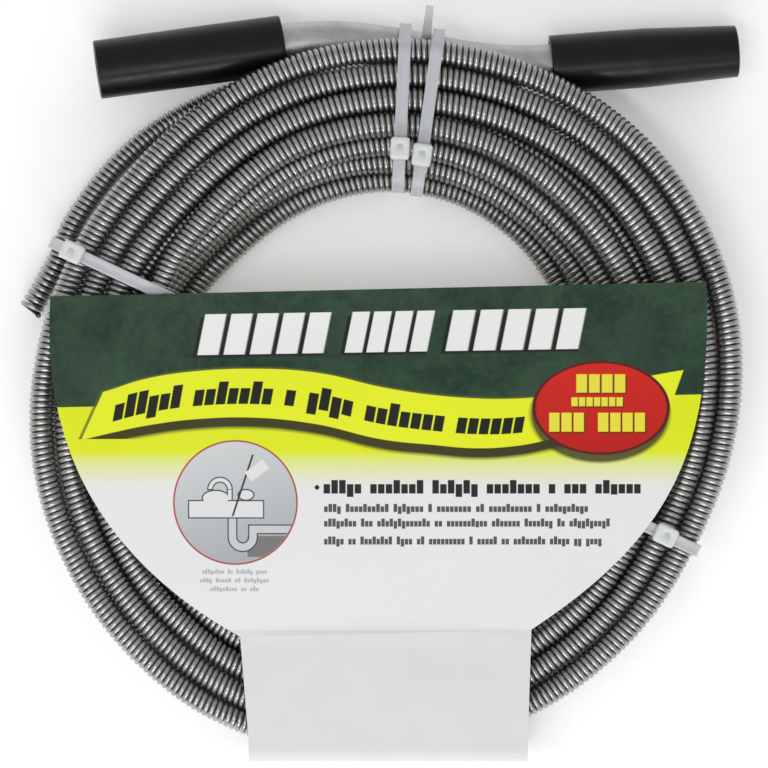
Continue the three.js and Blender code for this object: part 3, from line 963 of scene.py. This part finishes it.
def weld_bead():
    """The ring of weld that holds the nut on the tube."""
    lumps = np.random.default_rng(3).uniform(0, 2 * math.pi, 3)
    outline = [(5.95 + 0.45 * math.cos(t), NUT_BASE + 0.12 + 0.45 * math.sin(t)) for t in circle(12)]

    def ripple(angle, profile):
        return 1 + 0.012 * math.sin(14 * angle + lumps[0]) + 0.01 * math.sin(5 * angle + lumps[1])

    return turned("weld_bead", outline, lock_at, DOWN, 120, ripple, 60)


def lock_screw():
    tip = TUBE_BORE + 0.62
    sides, rows = 48, 60
    side, up = frame_of(DOWN)

    def ring(along, radius):
        return [
            lock_at + DOWN * along + (side * math.cos(angle) + up * math.sin(angle)) * radius(angle)
            for angle in circle(sides)
        ]

    rings = [[lock_at + DOWN * (tip - 0.02)] * sides]
    for along in tip + (LOCK_END - tip) * np.arange(rows) / (rows - 1):
        taper = min((along - tip) / 0.8, (LOCK_END - along) / 0.4 + 0.4, 1.0)

        def thread(angle):
            turn = (along / THREAD_PITCH + angle / (2 * math.pi)) % 1
            return (SCREW_RADIUS + THREAD_DEPTH * abs(2 * turn - 1)) * (0.78 + 0.22 * taper)

        rings.append(ring(along, thread))
    # The hexagonal socket in its outer end.
    for depth, size in ((0, SOCKET + 0.2), (0.15, SOCKET), (1.9, SOCKET), (2.2, 0.01)):
        rings.append(ring(LOCK_END - depth, lambda angle: size * hexagon(angle)))
    return grid_piece("lock_screw_threaded", rings, sharp=30)


def zinc(name, low, high):
    m = Nodes(name, Metallic=1.0)
    clouds = m.noise(130, 4, 0.6)
    scratches = m.noise(900, 3, 0.7, at=m.stretched((0.05, 1, 1), (0, 0, 0.1)))
    base = m.mix(m.ramp(clouds, 0.35, 0.65), low, high)
    base = m.mix(m.times(m.ramp(scratches, 0.62, 0.7), 0.25), base, (0.3, 0.3, 0.31))
    m.set("Base_Color", base)
    m.set("Roughness", m.ramp(m.noise(260, 3), 0.3, 0.7, 0.38, 0.52))
    m.bump(m.plus(clouds, m.times(scratches, 0.2)), 0.15, 0.0002)
    return m.material


def plastic(name, mottle, limits, low, high, rough, rough_to, grain, depth, **settings):
    """A mottled plastic; mottle, rough and grain are noise: scale, detail, roughness."""
    m = Nodes(name, **settings)
    m.set("Base_Color", m.mix(m.ramp(m.noise(*mottle), *limits), low, high))
    m.set("Roughness", m.ramp(m.noise(*rough), 0.3, 0.7, *rough_to))
    m.bump(m.noise(*grain), *depth)
    return m.material


def place(piece, body, slot, material, *nodes):
    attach(piece, body)
    if nodes:
        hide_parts(*nodes)
    piece.data.materials.clear()
    piece.data.materials.append(material)
    return piece


black = plastic(
    "black_plastic", (450, 4, 0.75), (0.6, 0.85), (0.003, 0.003, 0.0036), (0.014, 0.014, 0.015),
    (150, 4, 0.6), (0.26, 0.4), (1500, 3, 0.6), (0.1, 0.0002), Specular_IOR_Level=0.3,
)
left = turned("grip_left_moulded", grip_profile(1.1), LEFT_END, LEFT_WAY, 128, grip_shape(1, 0.0008))
place(left, "left_grip", "grip_plastic", black, "grip_left")
right = turned("grip_right_moulded", grip_profile(3.4), RIGHT_END, RIGHT_WAY, 128, grip_shape(2, 0.01))
place(right, "right_grip", "grip_plastic", black, "grip_right")
tube = crank_tube()
# The screw's hole through the tube's wall.
hole = [(0.01, -0.2), (NUT_BORE, -0.2), (NUT_BORE, 14), (0.01, 14)]
cut_out(tube, turned("cutter", hole, lock_at, DOWN, 32))
tube.data.set_sharp_from_angle(angle=math.radians(40))
tube_steel = zinc("zinc_tube", (0.47, 0.47, 0.475), (0.61, 0.61, 0.61))
place(tube, "bundle", "zinc_steel", tube_steel, "crank_tube")
nut_steel = zinc("zinc_nut", (0.4, 0.4, 0.4), (0.6, 0.6, 0.6))
place(lock_nut(), "bundle", "zinc_steel", nut_steel, "lock_nut")
place(weld_bead(), "bundle", "zinc_steel", zinc("weld", (0.12, 0.11, 0.1), (0.34, 0.32, 0.3)))
screw_steel = zinc("screw_steel", (0.25, 0.25, 0.26), (0.5, 0.5, 0.5))
place(lock_screw(), "screw", "screw_steel", screw_steel, "lock_screw")


# ---- the ties ----
COIL_BOTTOM = 1.5
COIL_TOP = 31.75
COIL_EDGE = 4.0
TIE_THICK = 1.2
TIE_WIDTH = 4.6
TIE_TOOTH = 0.14
TIE_CORNER = COIL_EDGE + 0.3
TRIMMED_TIE_ANGLE = 7.9
# Each tie: its angle round the coil, its inner and outer radius, the points [radius, height] that it
# also passes round, where the crank is tied in, and the radius at which its head sits.
TIES = {
    "tie_top_left": (2.7, 79.8, 132.6, [(135.6, 5.8), (136.4, 12), (135.2, 15)], 92.9),
    "tie_top_right": (TRIMMED_TIE_ANGLE, 79.1, 133.2, [(135, 5.8), (135.6, 12), (134.8, 15)], 91.2),
    "tie_left": (-64.9, 80.9, 131.8, [(135.2, 5.6), (135.6, 6.5)], 128.6),
    "tie_lower_right": (116, 84.3, 127.0, [], 113.9),
}
HEAD_BASE = COIL_TOP + 0.3 + TIE_THICK
HEAD_SIZE = np.array([8.6, 7.4, 4.0])
HEAD_ROUND = 0.28  # how much of each half side the rounding takes


def band_line(inner, outer, pushed_by):
    """The middle of the strap's thickness, round the coil, as [radius, height]."""
    low, high = COIL_BOTTOM + COIL_EDGE, COIL_TOP - COIL_EDGE
    inner, outer = inner + COIL_EDGE, outer - COIL_EDGE
    centres = [(inner, low), *(pushed_by or [(outer, low)]), (outer, high), (inner, high)]
    centres = np.array(centres, float)
    radius = TIE_CORNER + TIE_THICK / 2
    out = []
    for before, at, after in zip(np.roll(centres, 1, 0), centres, np.roll(centres, -1, 0)):
        start = math.atan2(*(at - before)[::-1]) - math.pi / 2
        end = math.atan2(*(after - at)[::-1]) - math.pi / 2
        while end < start - 1e-9:
            end += 2 * math.pi
        for t in np.linspace(start, end, 7):
            out.append(at + radius * np.array([math.cos(t), math.sin(t)]))
    return divided(np.array(out), 0.6)


def tie_point(angle, radius, across, height):
    """A point at a tie's angle round the coil, and so far across its strap."""
    turn = math.radians(angle)
    out = np.array([math.sin(turn), math.cos(turn), 0])
    sideways = np.array([math.cos(turn), -math.sin(turn), 0])
    return out * radius + sideways * across + np.array([0, 0, height])


def capped(rings):
    """The rings with each end closed to a point in its middle."""
    first, last = np.mean(rings[0], 0), np.mean(rings[-1], 0)
    return [[first] * len(rings[0])] + rings + [[last] * len(rings[0])]


def tie_strap(name, angle, inner, outer, pushed_by):
    """The strap: a shallow channel between two rails outside, fine teeth inside."""
    line = band_line(inner, outer, pushed_by)
    along = np.roll(line, -1, 0) - np.roll(line, 1, 0)
    normal = unit(np.stack([along[:, 1], -along[:, 0]], 1))
    half, thick = TIE_WIDTH / 2 - 0.02, TIE_THICK / 2 - 0.02
    # Half of its section, [across, outwards], from the teeth round to the channel.
    section = [
        (1.1, -thick + 0.22), (1.3, -thick), (half - 0.25, -thick), (half, -thick + 0.2),
        (half, thick - 0.25), (half - 0.3, thick), (half - 0.8, thick), (half - 1.1, thick - 0.16),
    ]
    section += [(-w, t) for w, t in section[::-1]]
    rings = []
    for i, (at, way) in enumerate(zip(line, normal)):
        ring = []
        for w, t in section:
            tooth = TIE_TOOTH if i % 2 and abs(w) < 1.2 and t < 0 else 0.0
            radius, height = at + way * (t + tooth)
            ring.append(tie_point(angle, radius, w, height))
        rings.append(ring)
    return grid_piece(name + "_strap", rings, along_closed=True, sharp=40)


def tie_head(name, angle, head):
    """The head: a block with soft edges, and a window in its top that shows the pawl."""
    shape = bmesh.new()
    bmesh.ops.create_cube(shape, size=1)
    bmesh.ops.subdivide_edges(shape, edges=shape.edges, cuts=6, use_grid_fill=True)
    points = []
    for vert in shape.verts:
        x, y, z = vert.co * 2
        p = np.array([math.copysign(abs(x) ** 0.8, x), math.copysign(abs(y) ** 0.8, y), z])
        corner = np.clip(np.abs(p) - 1 + HEAD_ROUND, 0, 1) / HEAD_ROUND
        pull = np.linalg.norm(corner)
        soft = p - np.sign(p) * corner * HEAD_ROUND * (1 - 1 / max(pull, 1.0))
        waist = 1 - 0.03 * (1 + soft[2])
        window = math.exp(-(((soft[0] - 0.1) / 0.34) ** 4) - ((soft[1] / 0.5) ** 4)) * 0.32
        dip = window * (soft[2] > 0.5)
        local = np.array([soft[0] * waist, soft[1] * waist, soft[2] - dip + 1]) * HEAD_SIZE / 2
        points.append(tie_point(angle, head + local[0], local[1], HEAD_BASE + 0.03 + local[2]))
    faces = [[v.index for v in f.verts] for f in shape.faces]
    shape.free()
    piece = linked(name + "_head", smooth_mesh(name + "_head", points, faces))
    rounder = piece.modifiers.new("round", "SUBSURF")
    rounder.levels = rounder.render_levels = 1
    return applied(piece)


def tie_pawl(name, angle, head):
    """The pawl in the head's window."""
    base = HEAD_BASE + HEAD_SIZE[2] - 0.55
    rings = []
    for t in np.linspace(0, 1, 9):
        half = 1.25 * (1 - 0.15 * t)
        height = 0.75 * math.sin(math.pi * (0.15 + 0.7 * t))
        radius = head - 1.2 + 3.0 * t
        outline = rounded([(-half, -0.3), (half, -0.3), (half, height), (-half, height)], 0.2, 2)
        rings.append([tie_point(angle, radius, w, base + z * 0.6) for w, z in outline])
    return grid_piece(name + "_pawl", capped(rings), sharp=40)


def cut_tail():
    """The end left standing when the right-hand top tie was trimmed."""
    half = (TIE_WIDTH - 0.9) / 2
    section = [(-half, -0.42), (half, -0.42), (half, 0.42), (0.6, 0.3), (-0.6, 0.3), (-half, 0.42)]
    section = rounded(section, 0.15, 2)
    rings = []
    for t in np.linspace(0, 1, 26):
        lean = unit([-0.39 - 0.2 * t, 0.92])
        ring = []
        for w, h in section:
            radius = 134.9 + 12.3 * t + lean[0] * h
            height = 19.8 + 5.2 * t**0.8 + lean[1] * h
            across = w * (1 - 0.25 * t) - 4.4 - 0.3 * t
            ring.append(tie_point(TRIMMED_TIE_ANGLE, radius, across, height))
        rings.append(ring)
    return grid_piece("tie_cut_end", capped(rings), sharp=40)


# Natural nylon: the straps cloudy, the heads frosted.
NYLON = dict(IOR=1.53, Subsurface_Weight=0.2, Subsurface_Scale=0.0015)
strap_nylon = plastic(
    "nylon", (200, 3), (0, 1), (0.5, 0.515, 0.555), (0.6, 0.615, 0.65),
    (800, 2), (0.3, 0.45), (600, 3), (0.1, 0.0003), **NYLON,
)
FROST = (900, 3, 0.7)
head_nylon = plastic(
    "nylon_head", FROST, (0, 1), (0.66, 0.68, 0.68), (0.8, 0.81, 0.8),
    FROST, (0.35, 0.5), FROST, (0.12, 0.0002), **NYLON,
)
for name, (angle, inner, outer, pushed_by, head) in TIES.items():
    strap = tie_strap(name, angle, inner, outer, pushed_by)
    place(strap, "bundle", "tie_nylon", strap_nylon, name)
    place(tie_head(name, angle, head), "bundle", "tie_nylon", head_nylon)
    place(tie_pawl(name, angle, head), "bundle", "tie_nylon", strap_nylon)
place(cut_tail(), "bundle", "tie_nylon", strap_nylon)

# ---- floor and light ----
REACH = 4000
corners = [(-REACH, -REACH, 0), (REACH, -REACH, 0), (REACH, REACH, 0), (-REACH, REACH, 0)]
floor = linked("floor", smooth_mesh("floor", corners, [(0, 1, 2, 3)]))
m = Nodes("floor", Roughness=0.9, Emission_Color=(1, 1, 1, 1), Emission_Strength=0.22)
m.set("Base_Color", m.mix(m.noise(3), (0.93, 0.93, 0.93), (0.95, 0.95, 0.95)))
floor.data.materials.append(m.material)
floor.location.z = -0.0002


def area_light(name, at, size, power):
    """A long light that looks at the middle of the object."""
    data = bpy.data.lights.new(name, "AREA")
    data.shape = "RECTANGLE"
    data.size, data.size_y = size
    data.energy = power
    lamp = linked(name, data)
    lamp.location = at
    lamp.rotation_euler = (-Vector(at)).to_track_quat("-Z", "Y").to_euler()


area_light("key", (-0.15, -1.15, 0.85), (1.3, 0.22), 7)
area_light("top", (-0.2, -0.33, 1.35), (1.3, 0.1), 4)
world = bpy.data.worlds.new("studio")
bpy.context.scene.world = world
world.use_nodes = True
world.node_tree.nodes["Background"].inputs["Color"].default_value = (1, 1, 1, 1)
world.node_tree.nodes["Background"].inputs["Strength"].default_value = 0.55
bpy.context.scene.view_settings.view_transform = "Standard"
